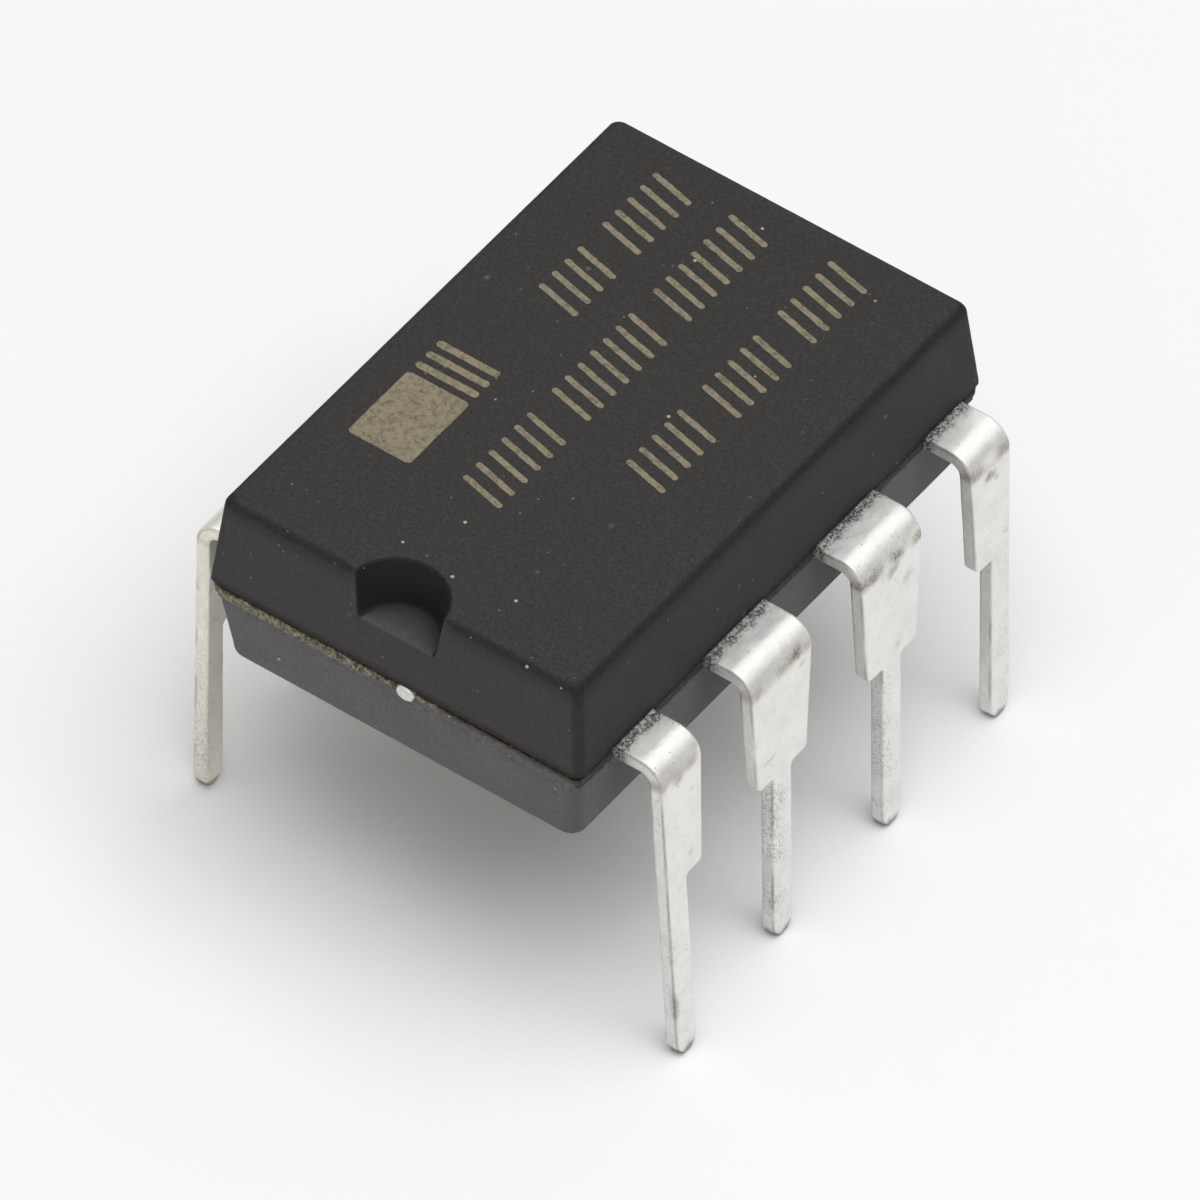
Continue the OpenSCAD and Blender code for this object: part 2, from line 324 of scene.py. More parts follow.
COLS = columns()
IN_NOTCH = COLS[:, 4] >= 0
FIRST, LAST = HALF_END_COLS, HALF_END_COLS + NOTCH_COLS - 1
LEFT = np.arange(len(COLS)) < FIRST
RIGHT = (np.arange(len(COLS)) > LAST) & (np.arange(len(COLS)) <= LAST + HALF_END_COLS)
# Half of the width that the notch's columns share below its floor
NOTCH_SPAN = 0.7
# How often the notch's two rims are smoothed, and how many columns to each side
RIM_PASSES, RIM_REACH = 3, 3


def outline(inset, radius, bite):
    """One ring of x and y. bite is the notch's radius, or None below its floor."""
    hx, hy = HALF_W - inset, HALF_L - inset
    x = COLS[:, 0] * (hx - radius) + COLS[:, 2] * radius
    y = COLS[:, 1] * (hy - radius) + COLS[:, 3] * radius
    face = -hy
    v = COLS[:, 4]
    if bite is None:
        reach = np.full(len(COLS), NOTCH_SPAN)
        x = np.where(IN_NOTCH, (2 * v - 1) * reach, x)
    else:
        rise = face - NOTCH_Y
        reach = np.sqrt(np.maximum(bite ** 2 - rise ** 2, 0.01))
        turn = np.arcsin(np.clip(rise / bite, -1, 1))
        a = math.pi - turn - v * (math.pi - 2 * turn)
        x = np.where(IN_NOTCH, bite * np.cos(a), x)
        y = np.where(IN_NOTCH, NOTCH_Y + bite * np.sin(a), y)
    edge = reach[FIRST]
    full = hx - radius
    x = np.where(LEFT, -full + (COLS[:, 0] + 1) * (full - edge), x)
    x = np.where(RIGHT, edge + COLS[:, 0] * (full - edge), x)
    if bite is not None:
        for _ in range(RIM_PASSES):
            for end in (FIRST, LAST):
                near = np.arange(end - RIM_REACH, end + RIM_REACH + 1)
                x[near] = (x[near - 1] + 2 * x[near] + x[near + 1]) / 4
                y[near] = (y[near - 1] + 2 * y[near] + y[near + 1]) / 4
    return x, y


# Colours of the moulding, linear. It is one material, and its tones hold painted light: the ends are
# painted lighter than the long sides, and the lower walls lighter still, as lit by the bright floor below
TOP_TONE = (0.032, 0.030, 0.0288)
SIDE_TONE = (0.030, 0.028, 0.029)
END_LIT_TONE = (0.048, 0.045, 0.046)
LOWER_LIT_TONE = (0.125, 0.121, 0.1245)
# Painted shadow in the groove under the parting step
GROOVE_SHADOW_TONE = (0.018, 0.011, 0.009)
FLASH_TONE = (0.23, 0.215, 0.155)
# Where the flash is thin, darkened by painted shade under the parting step: right of the tie bar, and along
# the long sides
THIN_FLASH_AND_SHADE, SIDE_FLASH_AND_SHADE = (0.06, 0.058, 0.05), (0.045, 0.043, 0.042)
# Painted shade on the notch's walls and its fillet
NOTCH_SHADE_TONE = (0.012, 0.012, 0.012)
FLOOR_TONE = (0.024, 0.024, 0.024)
SILL_TONE = (0.07, 0.068, 0.066)
KIND_TONE = {"lower": LOWER_LIT_TONE, "flash": FLASH_TONE, "groove": GROOVE_SHADOW_TONE, "top": TOP_TONE}
# How much darker the upright corners are
CORNER_SHADE = {"upper": 0.5, "lower": 0.22}
# How far down the flash starts, and its rings: distance under the parting line, and how far in
FLASH_H = 0.31
FLASH_RINGS = ((0.275, 0.06), (0.25, 0.045), (0.22, 0.035), (0.19, 0.03), (0.16, 0.028), (0.125, 0.028))
# Rings in the lower wall, in the walls under and beside the notch, and in the top and bottom edges
LOWER_RINGS, SILL_RINGS, WALL_RINGS, TOP_EDGE_RINGS, BOTTOM_EDGE_RINGS = 14, 9, 11, 10, 6
# Radius round the notch: at its rim and at its floor
NOTCH_RIM, NOTCH_FILLET = 0.05, 0.05
# Columns over which the top edge narrows to the notch's rim
RIM_COLS = 9
# Painted shade in a band under the top edge: its height, how dark the painted shade is, and how much more
# the rounded edge gets
BAND_H, BAND_SHADE, EDGE_SHADE = 0.24, 0.3, 0.25
# The flash is full only on the notched end, below this y, and left of this x
NOTCHED_END_Y, FULL_FLASH_X = -4.4, 0.45


def build_body():
    count = len(COLS)
    ones = np.ones(count)
    # Edge radius at the top, small round the notch
    edge = np.full(count, TOP_EDGE)
    for i in range(LAST + HALF_END_COLS + 1):
        away = max(FIRST - i, i - LAST, 0)
        edge[i] = NOTCH_RIM + (TOP_EDGE - NOTCH_RIM) * ease(away / RIM_COLS)
    rings, tones, grits = [], [], []
    run = np.arange(count) * 0.03

    def tone_of(kind, walls):
        """Colours of a ring. walls is the colour in the notch."""
        if kind == "upper":
            # Painted light: the ends take a lighter tone than the long sides
            ends = np.abs(COLS[:, 3]) > 0.5
            out = np.where(ends[:, None], END_LIT_TONE, SIDE_TONE)
        else:
            out = np.tile(KIND_TONE[kind], (count, 1))
        turn = np.abs(2 * COLS[:, 2] * COLS[:, 3])
        out = out * (1 - CORNER_SHADE.get(kind, 0) * turn)[:, None]
        if walls is not None:
            out[IN_NOTCH] = walls
        return out

    def ring(z, inset, radius, bite, kind, grit=0.0, rough=0.0, walls=None):
        """Adds a ring. rough is the height of its lumps."""
        z = z * ones
        inset = inset * ones
        wob = np.array([fuzz(run[i] * 2.1, z[i] * 6, 3.1) * 0.6 + fuzz(run[i] * 9, z[i] * 14, 7.7) * 0.4
                        for i in range(count)])
        inset = inset + 0.002 + 0.0025 * wob
        if rough:
            lump = np.array([fuzz(run[i] * 14, z[i] * 25, 1.7) for i in range(count)])
            inset = inset + rough * (0.35 + lump)
        inset = np.maximum(inset, 0.0005)
        x, y = outline(inset, radius * ones, bite)
        rings.append(np.stack([x, y, z], 1))
        tones.append(tone_of(kind, walls))
        grits.append(grit * ones)

    # Lower half
    lower_h = PARTING - UNDERSIDE
    low_centre = PARTING_STEP + (lower_h - BOTTOM_EDGE) * math.tan(LOWER_DRAFT) \
        + BOTTOM_EDGE / math.cos(LOWER_DRAFT)
    ring(UNDERSIDE, low_centre + 0.08, 0.02, None, "lower")
    for k in range(BOTTOM_EDGE_RINGS + 1):
        a = math.pi / 2 - (math.pi / 2 - LOWER_DRAFT) * k / BOTTOM_EDGE_RINGS
        ring(UNDERSIDE + BOTTOM_EDGE * (1 - math.sin(a)), low_centre - BOTTOM_EDGE * math.cos(a),
             0.14 + BOTTOM_EDGE * math.cos(a) * 0.85, None, "lower")
    for k in range(1, LOWER_RINGS + 1):
        h = (lower_h - BOTTOM_EDGE) + (FLASH_H - lower_h + BOTTOM_EDGE) * k / LOWER_RINGS
        ring(PARTING - h, PARTING_STEP + h * math.tan(LOWER_DRAFT), CORNER_R + 0.08 * h, None,
             "lower", 0.5 * ease((k - LOWER_RINGS + 2) / 2))
    # Flash and groove under the parting line, both with a ragged border. The groove's dark tone is painted
    # shadow, blended a little way up the upper wall
    jag = np.array([0.5 + 0.5 * fuzz(run[i] * 11, 2.2, 5.5) + 0.35 * fuzz(run[i] * 30, 8.2, 1.5)
                    for i in range(count)])
    jag = np.clip(jag, 0, 1)
    for h, inset in FLASH_RINGS:
        ring(PARTING - h + 0.02 * (jag - 0.5), inset, CORNER_R, None, "flash", 1.0, 0.022)
    ring(PARTING - 0.075 - 0.03 * jag, 0.034, CORNER_R, None, "flash", 1.0, 0.02)
    ring(PARTING - 0.06 - 0.03 * jag, 0.075, CORNER_R, None, "groove", 0.4, 0.01)
    ring(PARTING - 0.012, 0.085, CORNER_R, None, "groove", 0.4)
    ring(PARTING + 0.004 * jag, 0.012, CORNER_R, None, "groove", 0.4, 0.006)
    ring(PARTING + 0.02 + 0.008 * jag, 0.003, CORNER_R, None, "groove", 0.3, 0.004)
    ring(PARTING + 0.04 + 0.03 * jag, 0.006, CORNER_R, None, "groove", 0.2, 0.003)
    ring(PARTING + 0.06 + 0.03 * jag, 0.008, CORNER_R, None, "upper")
    # Painted shadow from the groove, blended onto the foot of the upper wall
    tones[-1] = 0.45 * tones[-1] + 0.55 * np.array(GROOVE_SHADOW_TONE)

    def wall(z):
        """How far the upper wall leans in."""
        return (z - PARTING) * math.tan(UPPER_DRAFT)

    def notch_at(z):
        return NOTCH_R - (TOP - z) * math.tan(NOTCH_TAPER)

    # Upper half, first up to the notch's floor
    floor_z = TOP - NOTCH_DEPTH
    for k in range(1, SILL_RINGS):
        z = PARTING + 0.09 + (floor_z - PARTING - 0.11) * k / SILL_RINGS
        ring(z, wall(z), CORNER_R, None, "upper")
    # Front edge of the notch's floor, the floor, and the fillet round it. Beside the notch the wall
    # goes on up.
    aside = np.where(IN_NOTCH, 0.0, 1.0)
    z = floor_z - 0.02 * (1 - aside) - 0.015 * aside
    ring(z, wall(z), CORNER_R, None, "upper")
    z = floor_z - 0.008 * aside
    ring(z, wall(z) + 0.02 * (1 - aside), CORNER_R, None, "upper", walls=SILL_TONE)
    floor_r = notch_at(floor_z)
    ring(floor_z, wall(floor_z), CORNER_R, (floor_r - NOTCH_FILLET) * ones, "upper", walls=FLOOR_TONE)
    # The fillet and the notch's walls take painted shade
    for k in (1, 2, 3):
        a = math.radians(30 * k)
        z = floor_z + NOTCH_FILLET * (1 - math.cos(a)) * (1 - aside) + 0.012 * (1 + k) * aside
        bite = floor_r - NOTCH_FILLET * (1 - math.sin(a))
        ring(z, wall(z), CORNER_R, bite * ones, "upper", walls=NOTCH_SHADE_TONE)
    # Walls, and the rounded edge of the top face, a little chipped at the notch
    wall_start, wall_end = floor_z + 0.06, TOP - SINK - edge
    for k in range(1, WALL_RINGS + 1):
        z = wall_start + (wall_end - wall_start) * k / WALL_RINGS
        ring(z, wall(z), CORNER_R, notch_at(z), "upper", walls=NOTCH_SHADE_TONE)
        # Painted shade on the wall just under the top edge
        under_edge = np.array([ease(1 - d / BAND_H) for d in wall_end - z]) * aside
        tones[-1] = tones[-1] * (1 - BAND_SHADE * under_edge)[:, None]
    centre = wall(wall_end) + edge / math.cos(UPPER_DRAFT)
    chips = np.where(IN_NOTCH, [0.012 * fuzz(r * 12, 4.0, 9.0) for r in run], 0)
    for k in range(1, TOP_EDGE_RINGS + 1):
        a = UPPER_DRAFT + (math.pi / 2 - UPPER_DRAFT) * k / TOP_EDGE_RINGS
        bite = notch_at(TOP - NOTCH_RIM) + NOTCH_RIM * (1 - math.cos(a)) + chips
        ring(wall_end + edge * math.sin(a), centre - edge * math.cos(a), 0.015 + CORNER_R * 0.9, bite,
             "upper", walls=TOP_TONE)
        # Painted shade on the rounded top edge
        band = BAND_SHADE + EDGE_SHADE * math.sin(math.pi * k / 9)
        dark = 1 - band * (1 - ease((k - 5) / 4))
        blend = k / TOP_EDGE_RINGS
        tones[-1] = dark * ((1 - blend) * tones[-1] + blend * np.array(TOP_TONE))
    ring(TOP - SINK, centre + 0.06, 0.12, notch_at(TOP) + 0.09, "top")

    verts = np.concatenate(rings) * MM
    faces = []
    for r in range(len(rings) - 1):
        low, high = r * count, (r + 1) * count
        for i in range(count):
            j = (i + 1) % count
            faces.append((low + i, low + j, high + j, high + i))
    faces.append(tuple(range(count - 1, -1, -1)))
    last = (len(rings) - 1) * count
    faces.append(tuple(range(last, last + count)))
    mesh = bpy.data.meshes.new("case")
    mesh.from_pydata(verts.tolist(), [], faces)
    mesh.validate()
    colours, grit = np.concatenate(tones), np.concatenate(grits)
    p = verts / MM
    # The flash thins out to a faint line right of the tie bar, and along the sides, where painted shade
    # under the parting step darkens it
    for i in np.nonzero(grit >= 0.9)[0]:
        x, y, z = p[i]
        if y < NOTCHED_END_Y:
            thick = 1 - 0.9 * ease((x - FULL_FLASH_X) / 0.6)
            low_edge = PARTING - (0.29 if x < -1 else 0.29 - 0.13 * ease((x + 1) / 1.2))
            thick *= ease((z - low_edge) / 0.03 + 0.5)
        else:
            thick = 0.0
        # Thin flash with painted shade under the parting step, right of the tie bar and on the long sides
        plain = LOWER_LIT_TONE if z < PARTING - 0.14 or x < 0.6 else THIN_FLASH_AND_SHADE
        if abs(x) > 3.0:
            plain = SIDE_FLASH_AND_SHADE
        colours[i] = thick * np.array(FLASH_TONE) + (1 - thick) * np.array(plain)
        grit[i] *= 0.25 + 0.75 * thick
    set_tone(mesh, colours, grit)
    finish_piece(bpy.data.objects.new("case", mesh), moulding_material(),
                 ["moulded_body"], 50)


# Leads, cut as a flat plate along s and y and then bent

def quarter_arc(cx, cy, r, steps=5):
    """Points from straight across (+y) to straight ahead (+s)."""
    turns = [math.radians(90 - 90 * k / steps) for k in range(steps + 1)]
    return [(cx + r * math.cos(a), cy + r * math.sin(a)) for a in turns]


def lead_outline(i, bend_end, shoulder, length):
    """Flat pattern of a lead, s along it and y across, with a corner lead's shoulder towards +y."""
    foot, skew = LEG_W / 2, SKEW.get(i, 0)
    corner = i in (1, 4, 5, 8)
    neck = HALF_W - ROOT_DEPTH
    root = foot + EAR_TOP
    end = bend_end + length
    toe = [(end - TIP_H, foot), (end - 0.17, foot - 0.012), (end - 0.09, foot - 0.04),
           (end - 0.035, foot - 0.09), (end, TIP_W / 2 - 0.03)]

    def ear(sign):
        drop = bend_end + shoulder
        pts = [(bend_end, root)] + quarter_arc(drop - EAR_R, foot + EAR_BOTTOM - EAR_R, EAR_R)
        # Small hollow where the leg starts
        pts += [(drop, foot + 0.07), (drop + 0.01, foot + 0.035), (drop + 0.035, foot + 0.01),
                (drop + 0.07, foot)]
        return [(s, sign * y) for s, y in pts + toe]

    def plain(sign):
        return [(s, sign * y) for s, y in [(bend_end, foot)] + toe]

    right = ear(1)
    left = plain(-1) if corner else ear(-1)

    def skewed(points):
        leg = length - shoulder
        return [(s, y + skew * max((s - bend_end - shoulder) / leg, 0)) for s, y in points]

    right, left = skewed(right), skewed(left)
    if corner:
        start = TIE_X + TIE_W / 2 + PAD_GAP
        reach = 1.5 * PITCH - PAD_L / 2 - PAD_GAP
        inner = [
            (start + 0.6 * FINGER_W, -foot), (start, reach), (start + 0.8 * FINGER_W, reach),
            (start + 1.7 * FINGER_W, FINGER_W / 2), (neck, FINGER_W / 2), (neck, root)]
        return inner + right + left[::-1]
    start = PAD_W / 2 + PAD_GAP
    inner = [(neck, -root), (neck, -FINGER_W / 2), (start, -FINGER_W / 2), (start, FINGER_W / 2),
             (neck, FINGER_W / 2), (neck, root)]
    return inner + right + left[::-1]


# Stains on each lead: distance down from the start of the bend, place across, two radii, strength
STAINS = {
    1: ((0.50, 0.15, 0.06, 0.08, 0.6), (4.6, -0.2, 0.24, 0.04, 0.75), (2.0, 0.3, 0.05, 0.05, 0.5)),
    2: ((0.37, 0.33, 0.09, 0.11, 1.0), (0.60, 0.45, 0.05, 0.06, 0.5), (1.9, -0.3, 0.05, 0.12, 0.5)),
    3: ((0.58, 0.00, 0.07, 0.16, 1.0), (0.95, 0.35, 0.12, 0.10, 0.45), (2.1, 0.1, 0.05, 0.06, 0.4)),
    4: ((0.60, 0.28, 0.10, 0.10, 1.0), (0.75, 0.12, 0.05, 0.06, 0.6), (2.0, -0.1, 0.06, 0.05, 0.4)),
    5: ((0.6, 0.1, 0.08, 0.1, 0.7),),
    6: ((0.62, -0.1, 0.08, 0.14, 0.8),),
    7: ((0.6, 0.2, 0.07, 0.1, 0.8),),
    8: ((0.7, 0.0, 0.08, 0.08, 0.6), (1.4, -0.15, 0.1, 0.05, 0.5)),
}
# Colours of the leads, linear: plated faces, sheared faces and stains
TIN = np.array((0.96, 0.955, 0.92))
SHEARED = np.array((0.92, 0.91, 0.875))
STAIN = np.array((0.08, 0.06, 0.036))
# Painted light: the far lead is painted brighter and warmer than the others
FAR_LEAD, FAR_LEAD_LIGHT = 8, np.array((1.06, 1.04, 0.97))
# How pitted each leg is below its shoulder
ROUGH_LEG, USUAL_ROUGH_LEG = {1: 0.15, 2: 0.5, 3: 0.4, 4: 0.22, 8: 0.4}, 0.2
# How speckled the brown film is low in each bend
FILM_GRIT, USUAL_FILM_GRIT = {1: 0.1, 3: 0.7, 4: 0.45}, 0.25
# How far down the middle of that film lies, half its height and its strength
FILM_AT, FILM_REACH, FILM_STRENGTH = 0.39, 0.17, 0.55
# How strong the stains, the brown line on the sheared faces, and the shades at the root and tip are
STAIN_STRENGTH, LINE_STRENGTH, ROOT_SHADE, TIP_SHADE = 0.65, 0.6, 0.3, 0.6
# Width of the rounded rims, and the steps at which a lead is sliced: in the bend, elsewhere and across
LEAD_RIM, BEND_STEP, FLAT_STEP, CROSS_STEP, CROSS_CUTS = 0.042, 0.022, 0.045, 0.052, 13
# Heights of the slices in the sheared faces
THICKNESS_CUTS = (-0.05, 0.0, 0.05)


def stained(tone, colour, amount):
    return tone * (1 - amount) + colour * amount


def build_lead(i, mat):
    lean = math.radians(LEAN.get(i, USUAL_LEAN))
    mid_r = BEND_R - HALF_T
    inside_r = BEND_R - LEAD_T
    bend_len = mid_r * (math.pi / 2 - lean)
    bend_end = BEND_X + bend_len
    length = (BEND_Z + inside_r * math.sin(lean)) / math.cos(lean)
    shoulder = length - LEG_LEN / math.cos(lean)
    bm = bmesh.new()
    plate(bm, lead_outline(i, bend_end, shoulder, length))
    rims = [e for e in bm.edges if abs(e.verts[0].co.z - e.verts[1].co.z) < 1e-6]
    bmesh.ops.bevel(bm, geom=rims, offset=LEAD_RIM, segments=3, profile=0.5, affect="EDGES",
                    clamp_overlap=True)
    s = HALF_W - 0.1
    end = bend_end + length
    while s < end - 0.01:
        slice_at(bm, 0, s)
        s += BEND_STEP if BEND_X - 0.05 < s < bend_end + 0.05 else FLAT_STEP
    for k in range(-CROSS_CUTS, CROSS_CUTS + 1):
        slice_at(bm, 1, k * CROSS_STEP)
    for z in THICKNESS_CUTS:
        slice_at(bm, 2, z)
    # Leads 4 and 5 have their one shoulder towards -y
    mirror_y = i in (4, 5)
    side = 1 if i <= 4 else -1
    row = i - 2.5 if i <= 4 else 6.5 - i
    centre_y = row * PITCH + FRAME_SHIFT
    cos_l, sin_l = math.cos(lean), math.sin(lean)
    seed = i * 17.3
    colours, grits = [], []
    for v in bm.verts:
        s, y, n = v.co
        wide = abs(n) > HALF_T - 0.008
        # The sheared faces are set in a little and uneven, and the wide faces have shallow dents
        if not wide:
            shake = 0.006 * fuzz(s * 4, n * 20, seed) + 0.005 * fuzz(s * 22, n * 9, seed)
            y -= math.copysign(0.006, y) * 0.5 - shake * 0.5
        dent = 0.0035 * fuzz(s * 3, y * 3, seed + 5) + 0.002 * fuzz(s * 11, y * 11, seed + 9)
        n -= math.copysign(0.004, n) + dent * (abs(n) / HALF_T)
        down = s - BEND_X
        # Flat part, bend, and straight part with the leg
        if s <= BEND_X:
            x, z = s, PARTING - HALF_T + n
        elif s <= bend_end:
            theta = math.pi / 2 - (s - BEND_X) / mid_r
            x, z = BEND_X + (mid_r + n) * math.cos(theta), BEND_Z + (mid_r + n) * math.sin(theta)
        else:
            d = s - bend_end
            x = BEND_X + (mid_r + n) * cos_l + d * sin_l
            z = BEND_Z + (mid_r + n) * sin_l - d * cos_l
        z = max(z, 0.001)
        tone = TIN.copy()
        if not wide:
            streak = 0.9 + 0.2 * abs(fuzz(s * 5, n * 50, seed))
            tone = SHEARED * streak
            # Faint brown line where the wide face turns into the sheared one
            line = ease(1 - abs(n - (HALF_T - 0.04)) / 0.028)
            line *= ease((0.75 if i == 1 else 0.4) + fuzz(s * 1.7, y, seed))
            tone = stained(tone, STAIN * 2.8, LINE_STRENGTH * line)
        amount = 0.0
        for at_s, at_y, reach_s, reach_y, strength in STAINS[i]:
            away = math.hypot((down - at_s) / reach_s, (y - at_y) / reach_y)
            away += 0.8 * fuzz(s * 9, y * 9, n * 3 + seed)
            amount = max(amount, 0.75 * strength * ease((1.5 - away) * 0.8))
        if not wide:
            amount *= ease((n / HALF_T + 0.1) * 1.2)
        tone = stained(tone, STAIN * 2, STAIN_STRENGTH * amount)
        # Root beside the moulding, soiled and speckled
        near = 0.0
        if s < HALF_W + 0.4:
            near = ease((HALF_W + 0.23 + 0.08 * fuzz(y * 5, seed, 1) - s) / 0.15)
        tone = tone * (1 - ROOT_SHADE * near)
        # Brown film in the lower part of the bend
        film = ease(1 - abs(down - FILM_AT) / FILM_REACH)
        film *= ease(0.55 + 0.8 * fuzz(y * 4, s * 4, seed + 3))
        tone = stained(tone, STAIN * 2.8, FILM_STRENGTH * film)
        # Dark tip, and pits down one side of the leg
        tip = ease((s - (end - 0.16 - 0.08 * fuzz(y * 8, seed, 8))) / 0.14)
        tone = tone * (1 - TIP_SHADE * tip)
        leg = ease((s - bend_end - shoulder) / 0.3) * ROUGH_LEG.get(i, USUAL_ROUGH_LEG)
        leg *= ease(0.9 - (y + 0.1) * 3) * ease(0.6 + fuzz(s * 2.2, y * 3, seed))
        # Painted light on the far lead
        if i == FAR_LEAD:
            tone = tone * FAR_LEAD_LIGHT
        film_grit = FILM_GRIT.get(i, USUAL_FILM_GRIT)
        grits.append(min(near + 0.4 * tip + leg + film_grit * film + 0.7 * amount, 1.0))
        colours.append(tone)
        v.co = Vector((side * x, centre_y + (-y if mirror_y else y), z)) * MM
    if side * (-1 if mirror_y else 1) < 0:
        bmesh.ops.reverse_faces(bm, faces=bm.faces)
    mesh = bpy.data.meshes.new(f"lead_{i}_formed")
    bm.to_mesh(mesh)
    bm.free()
    set_tone(mesh, np.array(colours), grits)
    finish_piece(bpy.data.objects.new(f"formed_lead_{i}", mesh), mat, [f"lead_{i}"], 55)


# Colours of the pad, linear, and of its torn ends
COPPER, TORN = np.array((0.72, 0.45, 0.3)), np.array((0.80, 0.83, 0.74))


def build_pad():
    """Die pad with its tie bars, torn off rough where they leave the moulding."""
    out = HALF_L + TIE_STUB
    lo_y, hi_y = FRAME_SHIFT - PAD_L / 2, FRAME_SHIFT + PAD_L / 2
    left, right = TIE_X - TIE_W / 2, TIE_X + TIE_W / 2
    side = PAD_W / 2
    bm = bmesh.new()
    plate(bm, [(-side, lo_y), (left, lo_y), (left, -out), (right, -out), (right, lo_y), (side, lo_y),
               (side, hi_y), (right, hi_y), (right, out), (left, out), (left, hi_y), (-side, hi_y)])
    bmesh.ops.bevel(bm, geom=bm.edges[:], offset=0.02, segments=2, profile=0.5, affect="EDGES")
    # Cuts along, across and through the ends of the tie bars
    cuts = [(1, sign * (out - k * 0.02)) for sign in (-1, 1) for k in range(1, 8)]
    cuts += [(0, left + TIE_W * k / 14) for k in range(1, 14)]
    cuts += [(2, -HALF_T + LEAD_T * k / 12) for k in range(1, 12)]
    for axis, value in cuts:
        slice_at(bm, axis, value)
    colours = []
    for v in bm.verts:
        x, y, z = v.co
        bare = ease((abs(y) - (HALF_L - 0.12)) / 0.05)
        if bare:
            # The end bulges and its section turns round
            lump = 0.5 + 0.5 * fuzz(x * 9, z * 9, y) + 0.3 * fuzz(x * 25, z * 25, y)
            u, w = (x - TIE_X) / (TIE_W / 2), z / HALF_T
            off_centre = max(abs(u), abs(w))
            y -= math.copysign(bare * (0.016 * lump + 0.028 * off_centre ** 3), y)
            shrink = 1 - 0.9 * bare * (1 - off_centre / max(math.hypot(u, w), 1e-6))
            x = TIE_X + (x - TIE_X) * shrink + 0.012 * bare * fuzz(x * 12, y * 12, z * 12)
            z *= shrink
        colours.append(stained(COPPER, TORN, bare))
        v.co = Vector((x, y, z + PARTING - HALF_T)) * MM
    mesh = bpy.data.meshes.new("torn_pad")
    bm.to_mesh(mesh)
    bm.free()
    set_tone(mesh, np.array(colours), np.zeros(len(colours)))
    finish_piece(bpy.data.objects.new("torn_pad", mesh), grained_material("copper_alloy", None, 0.45, 0.6),
                 ["die_pad"], 38)


# Print on the top face: plain bars only

# Each row of slanted bars: least and most x, least and most y, and the places left empty
SLANTED_ROWS = (
    (-1.9, -1.15, 1.1, 3.9, (4,)),
    (-0.6, 0.15, -2.4, 4.05, (6, 14)),
    (1.0, 1.75, -0.85, 4.1, (5, 11)),
)
# From one slanted bar to the next, their width and slant, and the same for the level bars
BAR_STEP, BAR_W, BAR_SLANT = 0.29, 0.095, 0.18
LEVEL_STEP, LEVEL_W = 0.24, 0.12


def rounded_bar(bm, x0, y0, x1, y1, width):
    """Flat bar with round ends from one point to another, its edge a little uneven."""
    z = TOP - PRINT_SINK
    along = Vector((x1 - x0, y1 - y0)).normalized()
    across = Vector((-along.y, along.x))
    length = math.hypot(x1 - x0, y1 - y0)
    steps = max(int(length / 0.03), 3)
    corner = min(width * 0.3, 0.06)
    rim = []
    for sign in (-1, 1):
        span = range(steps + 1) if sign < 0 else range(steps, -1, -1)
        for k in span:
            t = length * k / steps
            near = min(t, length - t)
            w = width / 2 - corner * (1 - math.sqrt(max(1 - max(1 - near / corner, 0) ** 2, 0)))
            w += 0.01 * fuzz(x0 * 7 + t * 9, y0 * 5, sign * 3.0)
            rim.append(Vector((x0, y0)) + along * t + across * sign * w)
    bm.faces.new([bm.verts.new((p.x * MM, p.y * MM, z * MM)) for p in rim])


def build_print():
    bm = bmesh.new()
    for x0, x1, y0, y1, gaps in SLANTED_ROWS:
        y = y0
        k = 0
        while y + BAR_SLANT <= y1 + 1e-6:
            if k not in gaps:
                rounded_bar(bm, x1, y, x0, y + BAR_SLANT, BAR_W)
            y += BAR_STEP
            k += 1
    # Plain block with level bars after it
    rounded_bar(bm, -1.85, -2.5, -1.85, -1.1, 1.05)
    for k in range(3):
        y = -0.92 + k * LEVEL_STEP
        rounded_bar(bm, -2.37, y, -1.33, y, LEVEL_W)
    bmesh.ops.recalc_face_normals(bm, faces=bm.faces)
    for f in bm.faces:
        if f.normal.z < 0:
            f.normal_flip()
    mesh = bpy.data.meshes.new("print_bars")
    bm.to_mesh(mesh)
    bm.free()
    finish_piece(bpy.data.objects.new("print_bars", mesh), print_material(), [], 38)


build_body()
tin = tin_material()
for number in range(1, 9):
    build_lead(number, tin)
build_pad()
build_print()

# Sealed pieces keep their own solids
inner = {
    "die_attach": grained_material("attach_paste", (0.5, 0.5, 0.48), 0.6, 0.2, 12),
    "die": grained_material("silicon", (0.16, 0.17, 0.22), 0.2, 0.3, 4),
}
gold = grained_material("gold_wire", (0.9, 0.68, 0.3), 0.2, 1.0, 30)
for name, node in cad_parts.items():
    mat = gold if name.startswith("bond_wire") else inner.get(name)
    if mat:
        node.data.materials.clear()
        node.data.materials.append(mat)

# Floor, pale, and clear from below. Half its width and its height are in metres.
FLOOR_REACH, FLOOR_Z = 1.5, -0.00002
FLOOR_CORNERS = ((-1, -1), (1, -1), (1, 1), (-1, 1))
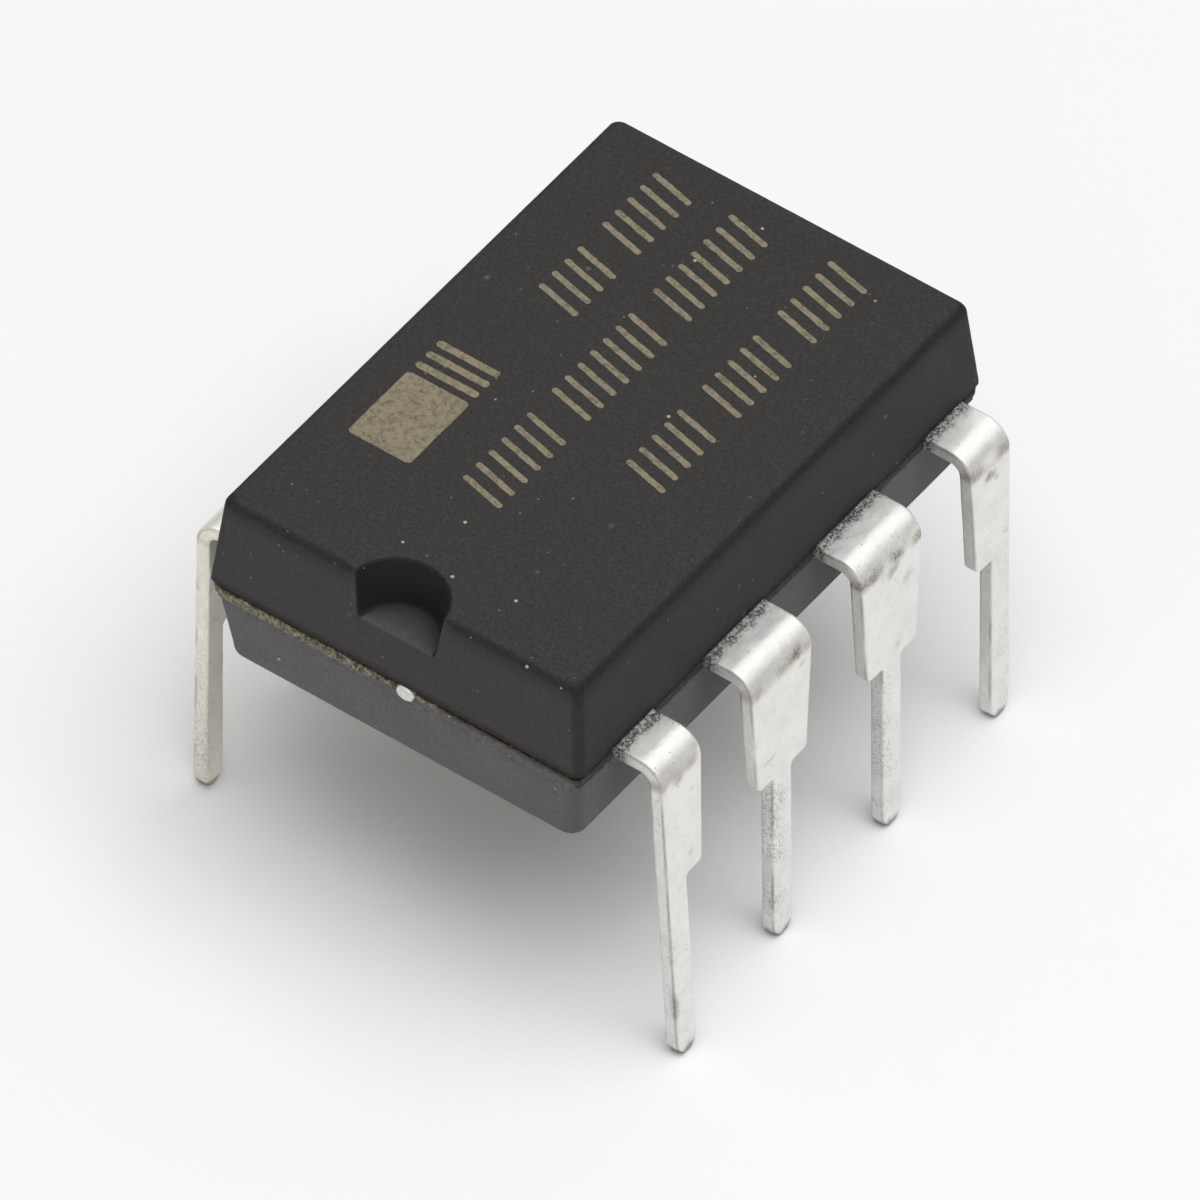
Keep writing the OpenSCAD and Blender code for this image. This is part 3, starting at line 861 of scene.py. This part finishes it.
# Its colour as other surfaces see it, and as the camera does
FLOOR_LIT, FLOOR_SEEN = (0.85, 0.85, 0.85, 1), (0.985, 0.985, 0.99, 1)
floor_mesh = bpy.data.meshes.new("floor")
floor_mesh.from_pydata([(x * FLOOR_REACH, y * FLOOR_REACH, FLOOR_Z) for x, y in FLOOR_CORNERS],
                       [], [(0, 1, 2, 3)])
floor = bpy.data.objects.new("floor", floor_mesh)
bpy.context.scene.collection.objects.link(floor)
s = Shader("floor")
path = s.add("ShaderNodeLightPath")
pale = s.mix(FLOOR_LIT, FLOOR_SEEN, path.outputs["Is Camera Ray"])
diffuse = s.add("ShaderNodeBsdfDiffuse", {"Color": pale})
clear = s.add("ShaderNodeBsdfTransparent")
back = s.add("ShaderNodeNewGeometry").outputs["Backfacing"]
both = s.add("ShaderNodeMixShader", {0: back, 1: diffuse.outputs[0], 2: clear.outputs[0]})
s.tree.links.new(both.outputs[0], s.out.inputs["Surface"])
floor_mesh.materials.append(s.mat)

# World: white where it's seen, dimmer and slightly warm as fill light on surfaces
FILL, FILL_TINT = 0.36, (1, 0.96, 0.91, 1)
# The room that metal mirrors: height (0 level, 1 straight up) and brightness, dim near the horizon
ROOM_START, ROOM_END = (0.0, 0.5), (0.8, 1.3)
ROOM_STOPS = ((0.04, 0.16), (0.38, 0.2), (0.58, 1.2))
world = bpy.data.worlds.new("studio")
bpy.context.scene.world = world
world.use_nodes = True
tree = world.node_tree
tree.nodes.clear()
path = tree.nodes.new("ShaderNodeLightPath")
seen = tree.nodes.new("ShaderNodeMath")
seen.operation = "MAXIMUM"
tree.links.new(path.outputs["Is Camera Ray"], seen.inputs[0])
tree.links.new(path.outputs["Is Glossy Ray"], seen.inputs[1])
shown = tree.nodes.new("ShaderNodeMath")
shown.operation = "MAXIMUM"
tree.links.new(seen.outputs[0], shown.inputs[0])
tree.links.new(path.outputs["Is Transmission Ray"], shown.inputs[1])
level = tree.nodes.new("ShaderNodeMapRange")
level.inputs["To Min"].default_value = FILL
level.inputs["To Max"].default_value = 1.0
tree.links.new(shown.outputs[0], level.inputs["Value"])
direction = tree.nodes.new("ShaderNodeTexCoord")
part = tree.nodes.new("ShaderNodeSeparateXYZ")
tree.links.new(direction.outputs["Generated"], part.inputs[0])
room = tree.nodes.new("ShaderNodeValToRGB")
tree.links.new(part.outputs["Z"], room.inputs[0])
ramp = room.color_ramp
for stop, (place, grey) in zip(ramp.elements, (ROOM_START, ROOM_END)):
    stop.position, stop.color = place, (grey, grey, grey, 1)
for place, grey in ROOM_STOPS:
    stop = ramp.elements.new(place)
    stop.color = (grey, grey, grey, 1)
mirrored = tree.nodes.new("ShaderNodeMix")
tree.links.new(path.outputs["Is Glossy Ray"], mirrored.inputs[0])
tree.links.new(level.outputs[0], mirrored.inputs[2])
tree.links.new(room.outputs[0], mirrored.inputs[3])
background = tree.nodes.new("ShaderNodeBackground")
tint = tree.nodes.new("ShaderNodeMix")
tint.data_type = "RGBA"
tint.inputs[6].default_value = FILL_TINT
tint.inputs[7].default_value = (1, 1, 1, 1)
tree.links.new(shown.outputs[0], tint.inputs[0])
tree.links.new(tint.outputs[2], background.inputs["Color"])
tree.links.new(mirrored.outputs[0], background.inputs["Strength"])
out = tree.nodes.new("ShaderNodeOutputWorld")
tree.links.new(background.outputs[0], out.inputs["Surface"])


# Lamp, in metres and watts, slightly cool to make up for the warm fill light. It aims at the part.
LAMP_AT, LAMP_AIM = Vector((0.075, -0.032, 0.29)), Vector((0, 0, 0.004))
LAMP_SIZE, LAMP_POWER, LAMP_TINT = 0.25, 0.70, (1, 1.025, 1.055)
light = bpy.data.lights.new("overhead", "AREA")
light.shape = "SQUARE"
light.size = LAMP_SIZE
light.energy = LAMP_POWER
light.color = LAMP_TINT
lamp = bpy.data.objects.new("overhead", light)
lamp.location = LAMP_AT
lamp.rotation_euler = (LAMP_AIM - LAMP_AT).to_track_quat("-Z", "Y").to_euler()
lamp.visible_camera = False
lamp.visible_glossy = False
bpy.context.scene.collection.objects.link(lamp)

# Camera at the photo's angle: its place in metres, its axes, and lens and sensor in millimetres
CAMERA_AT = Vector((0.145924, -0.202677, 0.270730))
RIGHTWARD = Vector((0.80605733, 0.59177024, 0.00892027))
UPWARD = Vector((-0.43756889, 0.58573385, 0.68223847))
FORWARD = Vector((-0.39850352, 0.55382655, -0.7310753))
LENS, SENSOR_W = 803.4, 36
camera = bpy.data.cameras.new("camera")
camera.lens = LENS
camera.sensor_width = SENSOR_W
camera.clip_start = 0.01
camera.clip_end = 5
cam = bpy.data.objects.new("camera", camera)
turn = Matrix((RIGHTWARD, UPWARD, -FORWARD)).transposed().to_4x4()
cam.matrix_world = Matrix.Translation(CAMERA_AT) @ turn
bpy.context.scene.collection.objects.link(cam)
bpy.context.scene.camera = cam
bpy.context.scene.view_settings.view_transform = "Standard"
